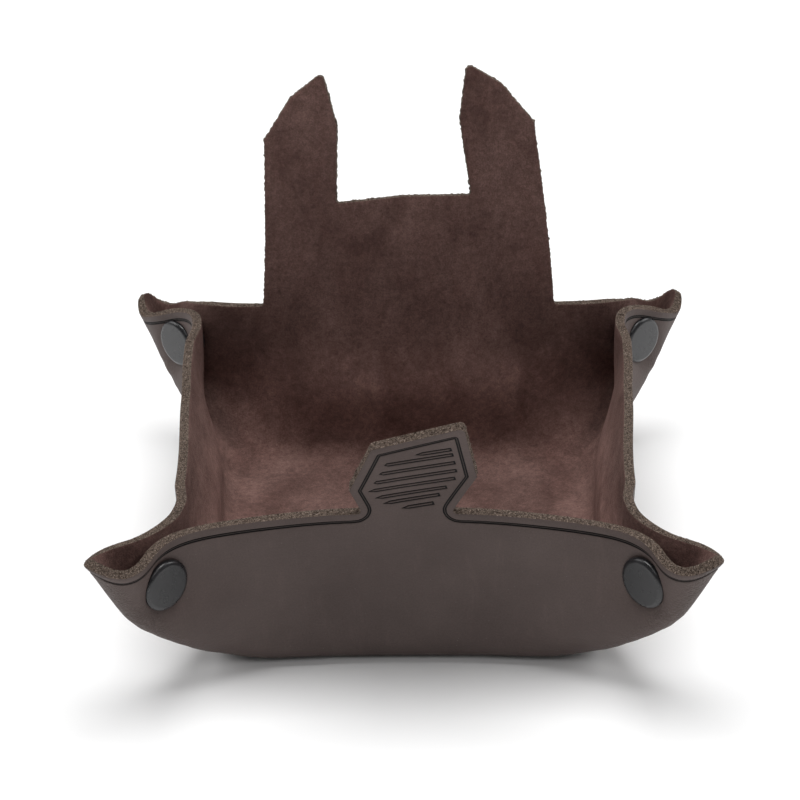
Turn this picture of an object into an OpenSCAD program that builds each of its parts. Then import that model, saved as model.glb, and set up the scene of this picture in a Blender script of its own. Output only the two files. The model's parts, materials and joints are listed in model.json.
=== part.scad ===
// Snap-corner leather dice tray with a tall pronged back panel and a ribbed front tab.
// The frame: X to the right, Y from front to back, Z up, origin on the table under the floor's centre.
// A wall is drawn flat in its own plane: x along its fold line, y up the wall, z out of the grain side.

/* [Leather] */
// Side of the square floor, from fold line to fold line
floor_w = 78; // [72:1:84]
// Height of a wall along the leather, from its fold line to its top edge
wall_h = 46; // [42:1:50]
// Thickness of the leather
leather_t = 2.6; // [2:0.1:3]
// Lean of the snapped walls, measured up from the table
wall_lean = 72; // [68:1:76]
// Radius of the rounded corners of the flat sheet
sheet_corner_r = 5; // [1:0.5:6]

/* [Back panel] */
// Half of the panel's width where it rises from the wall
panel_root_x = 37.4; // [34:0.2:39]
// Half of the panel's width at the prongs' outer shoulders
prong_shoulder_x = 34.2; // [31:0.2:36]
// Height of the prongs' outer shoulders above the wall's edge
prong_shoulder_y = 45.9; // [42:0.5:48]
// Height of the prongs' tips above the wall's edge
prong_tip_y = 62; // [59:0.5:66]
// Height of the notch's corners above the wall's edge
notch_y = 28.3; // [24:0.5:32]
// Rise of the notch's bowed edge at the middle
notch_bow = 0.9; // [0.2:0.1:2]

/* [Front tab] */
// Height of the tab's tall corner above the wall's edge
tab_high_y = 30; // [28:0.5:31]
// Height of the tab's low corner above the wall's edge
tab_low_y = 22.5; // [21:0.5:24]
// Tilt of the ruled grooves on the tab
groove_tilt = 13.5; // [8:0.5:16]
// Width of one ruled groove
groove_w = 0.9; // [0.5:0.1:1]
// Depth of one ruled groove
groove_depth = 0.35; // [0.2:0.05:0.6]

/* [Snaps] */
// Diameter of the snap caps
cap_d = 12.5; // [10:0.5:13]
// Height of a cap above the leather
cap_h = 2; // [1.6:0.1:2.4]
// Distance of a snap's centre from the sheet's edge above it
snap_from_top = 12.5; // [12:0.5:14]
// Distance of a snap's centre from the sheet's edge beside it
snap_from_side = 24.5; // [23:0.5:27]
// Gap between the two leather plies at a closed snap
ply_gap = 1; // [0.8:0.1:1.4]

/* [Hidden] */
$fn = 48;

leather = [0.20, 0.15, 0.13];
gunmetal = [0.06, 0.06, 0.065];

// The four sides, each a quarter turn from the front, and the two ends of a wall
front = 0;
right = 1;
back = 2;
left = 3;
plus_end = 1;
minus_end = -1;

// Folds: the floor and the walls carry round beads, and what turns on them is hollowed around the bead
bead_r = leather_t / 2;
fold_gap = 0.45;
hollow_r = bead_r + fold_gap;
crease_gap = 0.5;
cut_depth = 2 * leather_t;

// Slant of a wall's end edge and turn from a wall to its flap, both set by the lean
flare = atan(cos(wall_lean));
flap_fold = acos(sin(wall_lean) / sqrt(2));
ply_offset = (ply_gap + leather_t) / 2;
fold_inset = ply_offset / sin(flap_fold) / cos(flare);
end_x = floor_w / 2 - fold_inset;
end_top_x = end_x + wall_h * tan(flare);
flap_start_y = 4.5;

// Outline of one prong between its shoulder and the notch
prong_chamfer = [26.6, 56.3, 1];
prong_tip_x = 18.3;
prong_waist = [15.6, 48.3, 1.5];
notch_x = 17.3;
root_fillet = 1;

// Outline of the tab, from its left root round to its right root
tab_root_left = [-9.5, 0, 1.5];
tab_side_left = [-12.4, 8, 0.8];
tab_low_x = -7.1;
tab_high_x = 13.9;
tab_side_right = [16.8, 12.8, 0.8];
tab_root_right = [10.7, 0, 1.5];

// Ruled grooves: [middle x, height above the wall's edge, length]
grooves = [
    [7.1, 21.9, 7], [3.6, 19.1, 15], [3.2, 16.1, 16.7], [2.7, 13.1, 18.4],
    [2, 10.2, 19.1], [1.8, 7.4, 15.5], [1.9, 5.1, 11.9], [3.3, 2.8, 6.2]
];

// Snap pieces, from the cap's face down to the post's
cap_bevel = 0.8;
cap_shank_r = 1.6;
hole_r = 1.75;
sink_depth = 1;
socket_r = 5;
socket_bore_r = 2.45;
socket_past_middle = 0.4;
socket_floor = 0.6;
stud_flange_r = 4.6;
stud_flange_t = 0.6;
stud_neck_r = 1.75;
stud_head_r = 2.15;
stud_head_past_middle = 0.55;
stud_bore_r = 1.2;
post_flange_r = 4.75;
post_flange_t = 1;
post_rim_t = 0.4;
post_tip_r = 1.1;
eyelet_r = 0.6;
sink_play = 0.2;

arc_steps = 5;

function unit(v) = v / norm(v);
function turned(v, angle) = [v.x * cos(angle) - v.y * sin(angle), v.x * sin(angle) + v.y * cos(angle)];
function flat2(p) = [p.x, p.y];

// Arc that rounds corner b, which is [x, y, radius], between its neighbours a and c
function corner_arc(a, b, c) =
    let (
        back_way = unit(flat2(a) - flat2(b)),
        on_way = unit(flat2(c) - flat2(b)),
        half = acos(back_way * on_way) / 2,
        centre = flat2(b) + unit(back_way + on_way) * b[2] / sin(half),
        start = flat2(b) + back_way * b[2] / tan(half) - centre,
        sweep = (180 - 2 * half) * (cross(back_way, on_way) < 0 ? 1 : -1)
    )
    [for (i = [0 : arc_steps]) centre + turned(start, sweep * i / arc_steps)];

function rounded(points) =
    let (n = len(points))
    [for (i = [0 : n - 1])
        each points[i][2] == 0
            ? [flat2(points[i])]
            : corner_arc(points[(i + n - 1) % n], points[i], points[(i + 1) % n])];

function raised(p) = [p.x, wall_h + p.y, p[2]];
function mirrored(points) = [for (i = [len(points) - 1 : -1 : 0]) [-points[i].x, points[i].y, points[i][2]]];

// A wall's lower outline, anticlockwise from its left end to its right end
wall_foot = [[-end_top_x, wall_h, 0], [-end_x, 0, 0], [end_x, 0, 0], [end_top_x, wall_h, 0]];

panel_right = [
    [panel_root_x, wall_h, root_fillet],
    raised([prong_shoulder_x, prong_shoulder_y, 1]),
    raised(prong_chamfer),
    raised([prong_tip_x, prong_tip_y, 1]),
    raised(prong_waist),
    raised([notch_x, notch_y, root_fillet])
];
notch_middle = raised([0, notch_y + notch_bow, 0]);

tab_outline = [
    raised(tab_root_right), raised(tab_side_right),
    raised([tab_high_x, tab_high_y, 1.2]), raised([tab_low_x, tab_low_y, 1.2]),
    raised(tab_side_left), raised(tab_root_left)
];

// Places children in the plane of the wall on one side
module on_side(side) {
    rotate([0, 0, 90 * side])
        translate([0, -floor_w / 2, leather_t / 2])
            rotate([180 - wall_lean, 0, 0])
                children();
}

// Places children in the plane of the flap at the plus end of a wall: y along the fold, z out of the grain
module at_plus_flap() {
    translate([end_x, 0, 0])
        rotate([0, 0, -flare])
            rotate([0, -flap_fold, 0])
                children();
}

module on_flap(side, end) {
    on_side(side)
        if (end == plus_end)
            at_plus_flap() children();
        else
            mirror([1, 0, 0]) at_plus_flap() children();
}

snap_flat = [floor_w / 2 + wall_h - snap_from_side, wall_h - snap_from_top];
snap_on_flap = turned(snap_flat - [end_x, 0], flare);

module at_snap(side, end) {
    on_flap(side, end)
        translate([snap_on_flap.x, snap_on_flap.y, 0])
            children();
}

// Round bead along a wall's end fold
module end_bead() {
    translate([end_x, 0, 0])
        rotate([0, 0, -flare])
            rotate([-90, 0, 0])
                cylinder(r = bead_r, h = 2 * wall_h);
}

module wall_blank(outline) {
    difference() {
        union() {
            linear_extrude(leather_t, center = true) polygon(rounded(outline));
            intersection() {
                union() {
                    end_bead();
                    mirror([1, 0, 0]) end_bead();
                }
                translate([-floor_w, flap_start_y, -leather_t])
                    cube([2 * floor_w, wall_h - flap_start_y, 2 * leather_t]);
            }
        }
        rotate([0, 90, 0]) cylinder(r = hollow_r, h = 2 * floor_w, center = true);
    }
}

module groove(place) {
    translate([place.x, wall_h + place.y, leather_t / 2])
        rotate([0, 0, groove_tilt])
            cube([place[2], groove_w, 2 * groove_depth], center = true);
}

module flap_blank(side, end, sink_r) {
    diagonal_x = floor_w / 2 - crease_gap * sqrt(2);
    outline = [
        [end_x + flap_start_y * tan(flare), flap_start_y, 0],
        [diagonal_x + flap_start_y, flap_start_y, 0],
        [diagonal_x + wall_h, wall_h, sheet_corner_r],
        [end_top_x, wall_h, 0]
    ];
    color(leather)
        on_flap(side, end)
            difference() {
                linear_extrude(leather_t, center = true)
                    rotate(flare) translate([-end_x, 0]) polygon(rounded(outline));
                rotate([-90, 0, 0]) cylinder(r = hollow_r, h = 2 * wall_h);
                translate([snap_on_flap.x, snap_on_flap.y, 0]) {
                    cylinder(r = hole_r, h = cut_depth, center = true);
                    translate([0, 0, sink_depth - leather_t / 2 - cut_depth])
                        cylinder(r = sink_r + sink_play, h = cut_depth);
                }
            }
}

module base_panel() {
    color(leather) {
        translate([0, 0, leather_t / 2]) {
            cube([floor_w, floor_w, leather_t], center = true);
            for (side = [front, right, back, left])
                rotate([0, 0, 90 * side])
                    translate([0, -floor_w / 2, 0])
                        rotate([0, 90, 0])
                            cylinder(r = bead_r, h = 2 * end_x, center = true);
        }
    }
}

module front_wall() {
    color(leather)
        on_side(front)
            difference() {
                wall_blank(concat(wall_foot, tab_outline));
                for (place = grooves) groove(place);
            }
}

module back_wall() {
    color(leather)
        on_side(back)
            wall_blank(concat(wall_foot, panel_right, [notch_middle], mirrored(panel_right)));
}

module side_wall(side) {
    color(leather)
        on_side(side)
            wall_blank(wall_foot);
}

// Cap on the grain side, with its shank through the leather into the socket
module snap_cap(side, end) {
    face_z = leather_t / 2;
    shank_end_z = socket_floor - ply_offset + (ply_gap / 2 + sink_depth) - 2 * socket_floor;
    color(gunmetal)
        at_snap(side, end)
            rotate_extrude()
                polygon([
                    [0, shank_end_z], [cap_shank_r, shank_end_z], [cap_shank_r, face_z],
                    [cap_d / 2 - cap_bevel / 2, face_z], [cap_d / 2, face_z + cap_bevel / 2],
                    [cap_d / 2, face_z + cap_h - cap_bevel], [cap_d / 2 - cap_bevel, face_z + cap_h],
                    [0, face_z + cap_h]
                ]);
}

// Socket sunk in the suede side of the cap's flap
module snap_socket(side, end) {
    top_z = sink_depth - leather_t / 2;
    end_z = -ply_offset - socket_past_middle;
    color(gunmetal)
        at_snap(side, end)
            rotate_extrude()
                polygon([
                    [cap_shank_r, top_z - socket_floor], [socket_bore_r, top_z - socket_floor],
                    [socket_bore_r, end_z], [socket_r - socket_floor, end_z],
                    [socket_r, end_z + socket_floor], [socket_r, top_z], [cap_shank_r, top_z]
                ]);
}

// Stud sunk in the suede side of the facing flap, with its head inside the socket
module snap_stud(side, end) {
    seat_z = sink_depth - leather_t / 2;
    flange_z = seat_z - stud_flange_t;
    head_z = -ply_offset - stud_head_past_middle;
    color(gunmetal)
        at_snap(side, end)
            rotate_extrude()
                polygon([
                    [stud_bore_r, seat_z], [stud_flange_r, seat_z], [stud_flange_r, flange_z],
                    [stud_neck_r, flange_z], [stud_head_r, (flange_z + head_z) / 2],
                    [stud_neck_r, head_z], [stud_bore_r, head_z]
                ]);
}

// Eyelet post on the grain side, closed over inside the stud
module snap_post(side, end) {
    face_z = leather_t / 2;
    seat_z = sink_depth - leather_t / 2;
    tip_z = -ply_offset;
    color(gunmetal)
        at_snap(side, end)
            rotate_extrude()
                polygon([
                    [eyelet_r, tip_z], [post_tip_r, tip_z], [post_tip_r, seat_z],
                    [cap_shank_r, seat_z], [cap_shank_r, face_z],
                    [post_flange_r, face_z], [post_flange_r, face_z + post_rim_t],
                    [cap_shank_r, face_z + post_flange_t], [eyelet_r, face_z + post_rim_t]
                ]);
}

module cap_flap(side, end) flap_blank(side, end, socket_r);
module stud_flap(side, end) flap_blank(side, end, stud_flange_r);

base_panel();
front_wall();
side_wall(right);  // right_wall
back_wall();
side_wall(left);  // left_wall

cap_flap(front, minus_end);  // front_left_cap_flap
stud_flap(left, plus_end);  // front_left_stud_flap
cap_flap(front, plus_end);  // front_right_cap_flap
stud_flap(right, minus_end);  // front_right_stud_flap
cap_flap(right, plus_end);  // back_right_cap_flap
stud_flap(back, minus_end);  // back_right_stud_flap
cap_flap(left, minus_end);  // back_left_cap_flap
stud_flap(back, plus_end);  // back_left_stud_flap

snap_cap(front, minus_end);  // front_left_cap
snap_socket(front, minus_end);  // front_left_socket
snap_stud(left, plus_end);  // front_left_stud
snap_post(left, plus_end);  // front_left_post

snap_cap(front, plus_end);  // front_right_cap
snap_socket(front, plus_end);  // front_right_socket
snap_stud(right, minus_end);  // front_right_stud
snap_post(right, minus_end);  // front_right_post

snap_cap(right, plus_end);  // back_right_cap
snap_socket(right, plus_end);  // back_right_socket
snap_stud(back, minus_end);  // back_right_stud
snap_post(back, minus_end);  // back_right_post

snap_cap(left, minus_end);  // back_left_cap
snap_socket(left, minus_end);  // back_left_socket
snap_stud(back, plus_end);  // back_left_stud
snap_post(back, plus_end);  // back_left_post
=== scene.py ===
import json
from math import acos, atan2, ceil, cos, pi, radians, sin, sqrt, tan

import bpy
import numpy as np
from mathutils import Matrix, Vector, kdtree, noise
from mathutils.geometry import delaunay_2d_cdt

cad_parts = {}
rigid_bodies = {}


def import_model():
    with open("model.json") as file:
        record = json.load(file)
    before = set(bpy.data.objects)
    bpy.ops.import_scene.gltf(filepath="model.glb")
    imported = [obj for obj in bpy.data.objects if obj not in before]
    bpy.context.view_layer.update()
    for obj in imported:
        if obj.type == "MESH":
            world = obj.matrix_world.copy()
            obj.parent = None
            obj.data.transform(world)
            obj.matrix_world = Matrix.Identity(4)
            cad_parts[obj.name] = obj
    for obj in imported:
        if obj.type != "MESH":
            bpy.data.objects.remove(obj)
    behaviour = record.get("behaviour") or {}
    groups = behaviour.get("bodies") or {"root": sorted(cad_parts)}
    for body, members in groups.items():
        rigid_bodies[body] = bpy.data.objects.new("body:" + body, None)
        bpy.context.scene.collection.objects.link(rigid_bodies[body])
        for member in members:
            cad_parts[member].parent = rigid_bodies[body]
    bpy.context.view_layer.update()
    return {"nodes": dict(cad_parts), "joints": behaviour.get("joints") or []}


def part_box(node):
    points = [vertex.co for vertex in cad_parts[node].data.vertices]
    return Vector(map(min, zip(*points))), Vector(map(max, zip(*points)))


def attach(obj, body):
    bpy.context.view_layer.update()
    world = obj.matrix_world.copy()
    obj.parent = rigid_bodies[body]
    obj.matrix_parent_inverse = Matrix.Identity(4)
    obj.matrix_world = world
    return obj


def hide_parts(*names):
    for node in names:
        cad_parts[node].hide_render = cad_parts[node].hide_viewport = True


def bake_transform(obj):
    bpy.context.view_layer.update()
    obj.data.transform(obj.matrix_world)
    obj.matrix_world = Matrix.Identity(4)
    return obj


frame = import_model()

# Lengths below are in millimetres, and MM turns them into the frame's metres
MM = 0.001
JOINTS = {joint["name"]: joint for joint in frame["joints"]}
SIDES = ["front", "right", "back", "left"]
CORNERS = ["front_left", "front_right", "back_right", "back_left"]

# The leather sheet, as it is cut
LEATHER_T = 2.6
WALL_H = 46.0
FLOOR_HALF = -JOINTS["front_fold"]["pos_m"][1] / MM
EDGE_TRIM = 0.25
SHEET_HALF = FLOOR_HALF + WALL_H - EDGE_TRIM
EAR_R = 4.5
HOLE_FROM_SIDE = 26.2
HOLE_FROM_TOP = 10.7

# Outline of the tab and of half the back panel: [along the wall, above its edge, radius]
TAB = [
    [-9.5, 0, 1.0], [-12.4, 8, 0.8], [-7.1, 22.5, 1.2],
    [13.9, 30, 1.2], [16.8, 12.8, 0.8], [10.7, 0, 1.0],
]
PANEL = [
    [37.4, 0, 1.0], [34.2, 45.9, 1.2], [26.6, 56.3, 1.0], [18.3, 62, 1.0],
    [15.6, 48.3, 1.5], [17.3, 28.3, 1.0], [0, 29.2, 0],
]
PANEL_LEAN = 0.058
LEAN_RAMP = 25.0
TAB_CURL = 0.16
TAB_RAMP = 10.0

# Engraved border of two burnt lines, and their depths at each offset from its middle
BORDER_INSET = 2.2
BORDER_ROOT_R = 3.6
LINE_OFFSETS = [-0.50, -0.36, -0.22, 0.0, 0.22, 0.36, 0.50]
LINE_DEPTHS = [0.0, 0.3, 0.3, 0.06, 0.3, 0.3, 0.0]

# Ruled slots: [middle, height above the wall's edge, length, length of the left point]. Each has
# a line of mesh points at every one of the half widths, and its outline is burnt at the middle two
SLOT_HALVES = [0.12, 0.30, 0.54, 0.72]
SLOT_LINE_FADE = 0.14
GROOVES = [
    [7.1, 21.9, 7, 0.9], [3.6, 19.1, 15, 0.2], [3.2, 16.1, 16.7, 0.3], [2.7, 13.1, 18.4, 0.2],
    [2, 10.2, 19.1, 0.9], [1.8, 7.4, 15.5, 0.9], [1.9, 5.1, 11.9, 0.9], [3.3, 2.8, 6.2, 0.9],
]
GROOVE_TILT = radians(13.5)

# Where the sheet is divided between the bodies
BASE_EDGE = 26.0
FLAP_START = 60.0
FLAP_FOLD_X = 33.5
WALL_LEAN = radians(72)
FLARE = atan2(cos(WALL_LEAN), 1)

# How far out a wall starts and ends its bend away from the floor, and a flap's bend from its fold
WALL_BLEND = (32.0, 68.0)
FLAP_BLEND = 9.0

# Loose fibres at each step along the cut edge
FIBRES_PER_STEP = 2


# ---------------------------------------------------------------- small helpers

def smooth(t):
    """Smooth step from 0 to 1 as t goes from 0 to 1."""
    t = np.clip(t, 0, 1)
    return t * t * (3 - 2 * t)


def rise(value, span):
    """From 0 to 1 over a span given as its start and its length."""
    start, length = span
    return smooth((value - start) / length)


def bend_away(up, amount, ramp):
    """Angle and shift at a height up a sheet, for a bend that grows over a ramp and then stays."""
    angle = amount * np.minimum(up / ramp, 1)
    shift = np.where(up < ramp, amount * up**2 / (2 * ramp), amount * (up - ramp / 2))
    return angle, shift


def unit_rows(vectors):
    return vectors / np.maximum(np.linalg.norm(vectors, axis=-1, keepdims=True), 1e-9)


def new_object(name, data):
    obj = bpy.data.objects.new(name, data)
    bpy.context.scene.collection.objects.link(obj)
    return obj


# ---------------------------------------------------------------- where the snaps are

def snap_place():
    """Distance of a snap from the tray's centre along the diagonal, and its height."""
    low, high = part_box("front_left_cap")
    centre = (low + high) / (2 * MM)
    return (abs(centre.x) + abs(centre.y)) / sqrt(2), centre.z


def ply_offset():
    """Distance of a flap's middle surface from the diagonal plane of its corner."""
    points = [v.co for v in frame["nodes"]["front_left_cap_flap"].data.vertices]
    offsets = [(abs(p.y) - abs(p.x)) / sqrt(2) for p in points]
    return (min(offsets) + max(offsets)) / (2 * MM)


SNAP_S, SNAP_Z = snap_place()
PLY_OFFSET = ply_offset()


# ---------------------------------------------------------------- the sheet pulled into shape

class SheetSolver:
    """Half of the sheet as a grid of points with springs and bending, pulled into its snapped
    shape: the corners meet on the diagonal planes and the snaps hold them at the CAD's snaps."""

    TAB_W, TAB_H = 17.5, 28.0
    PANEL_W, PANEL_H = 38.5, 66.5
    NOTCH_W, NOTCH_H = 14.0, 31.5
    FOLD_BAND = (36, 50)
    FOLD_SOFT = 0.1
    CONTACT = 3.0
    EAR_PULL = 3.8
    EAR_DROOP = 6.0
    EAR_CLOSE = 0.4
    FOLD_PUSH = 2.7
    CORNER_PUSH = 3.0
    SIDE_SPREAD = 5.2
    SIDE_TUCK = 1.5
    STEPS = 45

    # Where each shaping fades in or out: (start, length), in mm along the named direction
    CLOSE_SPAN, PULL_SPAN, DROOP_SPAN = (84, 10), (86, 18), (74, 26)
    FOLD_IN, FOLD_OUT, FOLD_ENDS = (33, 9), (46, 18), (20, 24)
    CORNER_IN, CORNER_OUT, CORNER_LOW, CORNER_SIDE = (16, 20), (46, 26), (30, 10), (4, 30)
    TUCK_IN, TUCK_OUT, SPREAD_SPAN = (34, 10), (48, 10), (5, 55)
    SPREAD_START, SPREAD_MIDDLE = 34, 10

    def __init__(self, cells=24):
        self.cells = cells
        self.h = SHEET_HALF / cells
        self.number_points()
        self.link_springs()
        self.link_bending()
        self.order_blocks()
        self.limits = []
        self.centres = []
        self.add_limits()
        self.add_snaps()
        self.rest_blocks = self.bending_blocks()
        self.x = self.start_shape()

    def number_points(self):
        h, n = self.h, self.cells
        self.low = -n - round(self.TAB_H / h)
        self.high = n + round(self.PANEL_H / h)
        self.index = {}
        for j in range(self.low, self.high + 1):
            if j < -n:
                columns = range(round(self.TAB_W / h) + 1)
            elif j <= n:
                columns = range(n + 1)
            else:
                in_notch = j - n > self.NOTCH_H / h
                first = ceil(self.NOTCH_W / h) if in_notch else 0
                columns = range(first, round(self.PANEL_W / h) + 1)
            for i in columns:
                self.index[i, j] = len(self.index)
        self.keys = np.array(list(self.index))
        self.flat = self.keys * h

    def softness(self, u, v):
        """Share of the full bending stiffness: the leather is worked soft where it folds up."""
        start, end = self.FOLD_BAND
        out = max(abs(u), abs(v))
        worked = min(1, max(0, (out - start) / 3 + 0.5)) * min(1, max(0, (end - out) / 3 + 0.5))
        return 1 - (1 - self.FOLD_SOFT) * worked

    def link_springs(self):
        ends, lengths, stiffness = [], [], []
        for (i, j), a in self.index.items():
            for di, dj, k in ((1, 0, 1), (0, 1, 1), (1, 1, 0.5), (1, -1, 0.5)):
                b = self.index.get((i + di, j + dj))
                across = (i + di, j) in self.index and (i, j + dj) in self.index
                if b is None or not across:
                    continue
                ends.append((a, b))
                lengths.append(self.h * sqrt(di * di + dj * dj))
                stiffness.append(k * (0.5 if i == 0 and di == 0 else 1))
        self.ends = np.array(ends)
        self.lengths = np.array(lengths)
        self.stiffness = np.array(stiffness)

    def link_bending(self):
        h = self.h
        stencils, weights, mirror, mirror_weights = [], [], [], []
        for (i, j), a in self.index.items():
            for di, dj in ((1, 0), (0, 1)):
                p = self.index.get((i - di, j - dj))
                q = self.index.get((i + di, j + dj))
                if p is not None and q is not None:
                    stencils.append((p, a, a, q))
                    weights.append(self.softness(i * h, j * h) * (0.5 if i == 0 and di == 0 else 1))
            square = [self.index.get(key) for key in ((i + 1, j), (i, j + 1), (i + 1, j + 1))]
            if None not in square:
                stencils.append((a, *square))
                weights.append(2 * self.softness((i + 0.5) * h, (j + 0.5) * h))
            if i == 0 and (1, j) in self.index:
                mirror.append((a, self.index[1, j]))
                mirror_weights.append(2 * self.softness(0, j * h))
        plate = LEATHER_T ** 2 / 12 / h ** 2
        self.stencils = np.array(stencils)
        self.signs = np.array([1.0, -1.0, -1.0, 1.0])
        self.bend_weights = np.array(weights) * plate
        self.mirror = np.array(mirror)
        self.mirror_weights = np.array(mirror_weights) * plate

    def order_blocks(self):
        """Two rows of points make one block of the block-tridiagonal system."""
        self.block = (self.keys[:, 1] - self.low) // 2
        self.blocks = self.block.max() + 1
        used = [0] * self.blocks
        self.place = np.zeros(len(self.keys), int)
        for point, block in enumerate(self.block):
            self.place[point] = used[block]
            used[block] += 1
        self.used = used
        self.width = 3 * max(used)

    def add_limits(self):
        """The table, the mirror plane, and the diagonal planes where two plies meet."""
        u, v = self.flat[:, 0], np.abs(self.flat[:, 1])
        count = len(u)
        up = np.tile([0.0, 0.0, 1.0], (count, 1))
        self.limits.append((np.arange(count), up, LEATHER_T / 2, self.CONTACT, True))
        middle = np.where(self.keys[:, 0] == 0)[0]
        self.limits.append((middle, np.tile([1.0, 0, 0], (len(middle), 1)), 0.0, 20.0, False))
        centre = np.array([self.index[0, 0]])
        self.limits.append((centre, np.array([[0, 1.0, 0]]), 0.0, 1.0, False))
        corner = (u > 40) & (v > 40) & (v <= SHEET_HALF + 0.1)
        for sign in (1, -1):
            points = np.where(corner & (np.sign(np.round(v - u, 5)) == sign))[0]
            reach = np.minimum(1, np.abs(v - u)[points] / sqrt(2) / 3)
            self.limits.append(
                (points, sign * self.across(points), LEATHER_T / 2 * reach, self.CONTACT, True)
            )
        points = np.where(corner & (np.abs(v - u) < 1e-6))[0]
        self.limits.append((points, self.across(points), 0.0, self.CONTACT, False))

    def across(self, points):
        """Direction across the diagonal plane, from the side wall's ply to the other's."""
        sign = np.sign(self.flat[points, 1])
        return np.stack([-np.ones(len(points)), sign, np.zeros(len(points))], 1) / sqrt(2)

    def add_snaps(self):
        a, b = SHEET_HALF - HOLE_FROM_SIDE, SHEET_HALF - HOLE_FROM_TOP
        for hole, sign in (((a, -b), 1), ((b, -a), -1), ((a, b), 1), ((b, a), -1)):
            away = np.hypot(self.flat[:, 0] - hole[0], self.flat[:, 1] - hole[1])
            points = np.where(away < 5)[0]
            self.limits.append((points, sign * self.across(points), PLY_OFFSET, 10.0, False))
            x = (SNAP_S - sign * PLY_OFFSET) / sqrt(2)
            y = (SNAP_S + sign * PLY_OFFSET) / sqrt(2)
            self.centres.append((points, np.array([x, np.sign(hole[1]) * y, SNAP_Z]), 40.0))

    def add_entries(self, a, b, c, d, value, diagonal, upper):
        rows, columns = self.place[a] * 3 + c, self.place[b] * 3 + d
        same = self.block[a] == self.block[b]
        np.add.at(diagonal, (self.block[a][same], rows[same], columns[same]), value[same])
        above = self.block[b] == self.block[a] + 1
        np.add.at(upper, (self.block[a][above], rows[above], columns[above]), value[above])

    def bending_blocks(self):
        diagonal = np.zeros((self.blocks, self.width, self.width))
        upper = np.zeros_like(diagonal)
        for c in range(3):
            for p in range(4):
                for q in range(4):
                    value = self.bend_weights * self.signs[p] * self.signs[q]
                    ends = self.stencils[:, p], self.stencils[:, q]
                    self.add_entries(*ends, c, c, value, diagonal, upper)
            for p, q, sign in ((0, 0, 1), (1, 1, 1), (0, 1, -1), (1, 0, -1)):
                if c > 0:
                    ends = self.mirror[:, p], self.mirror[:, q]
                    self.add_entries(*ends, c, c, sign * self.mirror_weights, diagonal, upper)
        for block, used in enumerate(self.used):
            spare = np.arange(3 * used, self.width)
            diagonal[block, spare, spare] = 1
        return diagonal, upper

    def start_shape(self):
        """The floor flat and the four sides folded up straight, to start from."""
        lean, floor = radians(65), 32.0
        u, v = self.flat[:, 0], self.flat[:, 1]
        over_u = np.maximum(np.abs(u) - floor, 0)
        over_v = np.maximum(np.abs(v) - floor, 0)
        x = np.sign(u) * (np.abs(u) - over_u * (1 - cos(lean)))
        y = np.sign(v) * (np.abs(v) - over_v * (1 - cos(lean)))
        return np.stack([x, y, np.maximum(over_u, over_v) * sin(lean) + LEATHER_T / 2], 1)

    def energy(self, x, blocks=False):
        force = np.zeros_like(x)
        bent = np.einsum("p,epc->ec", self.signs, x[self.stencils])
        total = 0.5 * np.sum(self.bend_weights[:, None] * bent * bent)
        for p in range(4):
            np.add.at(force, self.stencils[:, p], self.bend_weights[:, None] * self.signs[p] * bent)
        tilt = (x[self.mirror[:, 1]] - x[self.mirror[:, 0]]) * np.array([0, 1, 1])
        total += 0.5 * np.sum(self.mirror_weights[:, None] * tilt * tilt)
        np.add.at(force, self.mirror[:, 1], self.mirror_weights[:, None] * tilt)
        np.add.at(force, self.mirror[:, 0], -self.mirror_weights[:, None] * tilt)
        span = x[self.ends[:, 1]] - x[self.ends[:, 0]]
        length = np.linalg.norm(span, axis=1)
        stretch = length - self.lengths
        total += 0.5 * np.sum(self.stiffness * stretch * stretch)
        pull = (self.stiffness * stretch / length)[:, None] * span
        np.add.at(force, self.ends[:, 1], pull)
        np.add.at(force, self.ends[:, 0], -pull)
        for points, normal, offset, weight, one_sided in self.limits:
            past = np.sum(x[points] * normal, axis=1) - offset
            past = np.minimum(past, 0) if one_sided else past
            total += 0.5 * np.sum(weight * past * past)
            np.add.at(force, points, (weight * past)[:, None] * normal)
        for points, target, weight in self.centres:
            off = x[points].mean(0) - target
            total += 0.5 * weight * np.sum(off * off)
            force[points] += weight * off / len(points)
        if not blocks:
            return total, force
        diagonal, upper = (block.copy() for block in self.rest_blocks)
        self.add_spring_entries(span, length, diagonal, upper)
        self.add_limit_entries(x, diagonal, upper)
        return total, force, diagonal, upper

    def add_spring_entries(self, span, length, diagonal, upper):
        way = span / length[:, None]
        slack = self.stiffness * np.maximum(1 - self.lengths / length, 0)
        a, b = self.ends[:, 0], self.ends[:, 1]
        for p in range(3):
            for q in range(3):
                along = way[:, p] * way[:, q]
                value = self.stiffness * along + slack * ((p == q) - along)
                self.add_entries(a, a, p, q, value, diagonal, upper)
                self.add_entries(b, b, p, q, value, diagonal, upper)
                self.add_entries(a, b, p, q, -value, diagonal, upper)
                self.add_entries(b, a, p, q, -value, diagonal, upper)

    def add_limit_entries(self, x, diagonal, upper):
        for points, normal, offset, weight, one_sided in self.limits:
            past = np.sum(x[points] * normal, axis=1) - offset
            active = weight * ((past < 0) if one_sided else np.ones(len(points), bool))
            for p in range(3):
                for q in range(3):
                    value = active * normal[:, p] * normal[:, q]
                    self.add_entries(points, points, p, q, value, diagonal, upper)
        for points, _, weight in self.centres:
            value = np.full(len(points), weight / len(points))
            for p in range(3):
                self.add_entries(points, points, p, p, value, diagonal, upper)

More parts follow.
